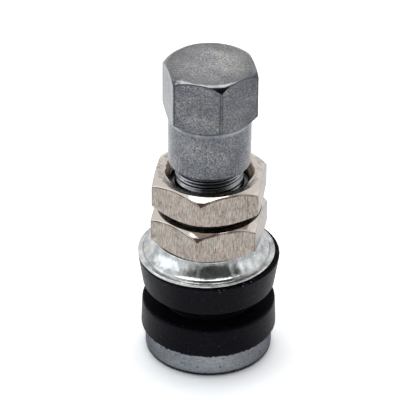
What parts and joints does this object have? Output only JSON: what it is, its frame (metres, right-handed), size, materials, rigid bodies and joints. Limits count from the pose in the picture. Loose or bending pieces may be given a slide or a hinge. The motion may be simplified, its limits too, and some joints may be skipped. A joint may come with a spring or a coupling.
{
  "type": "tyre valve",
  "caption": "Clamp-in metal tyre valve with a hex sealing cap, hex nuts, a dished washer, rubber grommets that grip the wheel rim and a spring-loaded core in the stem.",
  "frame": {"origin": "centre of the foot's flat underside", "axes": "+Z along the stem towards the cap, -Y towards the picture's camera"},
  "size_m": [0.0168, 0.0168, 0.0386],
  "materials": {
    "zinc_steel": "matte zinc plating, blue grey with dark specks",
    "satin_cap": "satin grey plating",
    "nickel": "warm nickel plating with upright milling streaks",
    "bright_zinc": "bright zinc plating",
    "rubber": "satin black moulded rubber",
    "gasket": "black rubber",
    "core_brass": "turned brass",
    "seal_red": "red seal",
    "spring_steel": "bright spring wire"
  },
  "bodies": {
    "stem": {"valve_stem": "zinc_steel", "lower_grommet": "rubber", "core_plug": "core_brass", "core_barrel": "core_brass", "core_barrel_seal": "seal_red", "core_spring": "spring_steel"},
    "clamp_stack": {"upper_grommet": "rubber", "cup_washer": "bright_zinc"},
    "clamp_nut": {"clamp_nut": "nickel"},
    "lock_nut": {"lock_nut": "nickel"},
    "cap_disc": {"cap_gasket": "gasket"},
    "cap": {"cap_shell": "satin_cap"},
    "core_poppet": {"core_pin": "core_brass", "core_cup": "core_brass", "core_cup_seal": "gasket"}
  },
  "joints": [
    {"name": "clamp_lift", "type": "slide", "parent": "stem", "child": "clamp_stack", "axis": [0, 0, 1], "range_m": [0, 0.0007]},
    {"name": "clamp_nut_turn", "type": "hinge", "parent": "clamp_stack", "child": "clamp_nut", "pos_m": [0, 0, 0.0174], "axis": [0, 0, 1], "range_deg": [0, 256]},
    {"name": "lock_nut_turn", "type": "hinge", "parent": "stem", "child": "lock_nut", "pos_m": [0, 0, 0.0223], "axis": [0, 0, 1], "range_deg": [0, 270]},
    {"name": "cap_lift", "type": "slide", "parent": "stem", "child": "cap_disc", "axis": [0, 0, 1], "range_m": [0, 0.01032]},
    {"name": "cap_turn", "type": "hinge", "parent": "cap_disc", "child": "cap", "pos_m": [0, 0, 0.0344], "axis": [0, 0, 1], "range_deg": [0, 4690]},
    {"name": "core_press", "type": "slide", "parent": "stem", "child": "core_poppet", "axis": [0, 0, 1], "range_m": [-0.0012, 0], "stiffness_N_per_m": 500, "springref_m": 0.003, "deforming": ["core_spring"]}
  ],
  "couplings": [
    {"joint": "clamp_nut_turn", "follows": "clamp_lift", "rad_per_m": 6283.2},
    {"joint": "cap_turn", "follows": "cap_lift", "rad_per_m": 7913.3}
  ]
}
